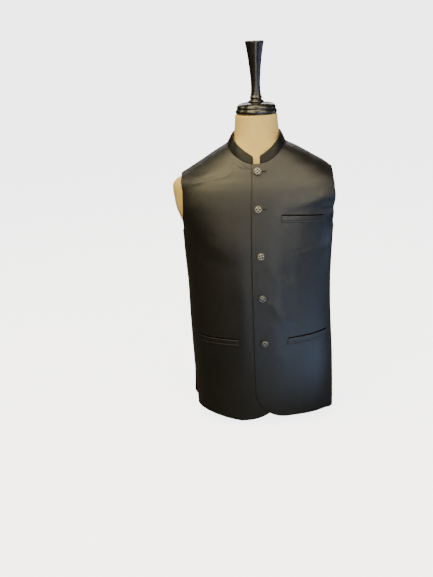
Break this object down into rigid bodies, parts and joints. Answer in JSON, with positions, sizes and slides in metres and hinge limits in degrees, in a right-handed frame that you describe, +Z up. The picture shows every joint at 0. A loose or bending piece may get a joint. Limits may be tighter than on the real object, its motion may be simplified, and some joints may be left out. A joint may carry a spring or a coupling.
{
  "type": "band-collar waistcoat on limbless dress form",
  "caption": "Sleeveless, hip-length band-collar waistcoat, buttoned over a limbless cloth-covered dress form with a turned black neck cap and finial.",
  "frame": {"origin": "middle of the flat face under the dress form, on which the part stands", "axes": "+Z up along the form, the garment's front faces -Y, the wearer's left side is at +X"},
  "size_m": [0.4167, 0.2685, 0.98],
  "materials": {
    "suiting": "black suiting with a soft sheen",
    "calico": "cream woven cotton stretched over padding",
    "black_lacquer": "turned wood in glossy black lacquer",
    "antique_metal": "domed metal in antique silver, dark in its hollows"
  },
  "bodies": {
    "root": {"left_front": "suiting", "right_front": "suiting", "back": "suiting", "collar": "suiting", "chest_welt": "suiting", "left_pocket_welt": "suiting", "right_pocket_welt": "suiting", "button_1": "antique_metal", "button_2": "antique_metal", "button_3": "antique_metal", "button_4": "antique_metal", "button_5": "antique_metal", "form_torso": "calico", "form_cap": "black_lacquer", "form_finial": "black_lacquer"}
  },
  "joints": []
}
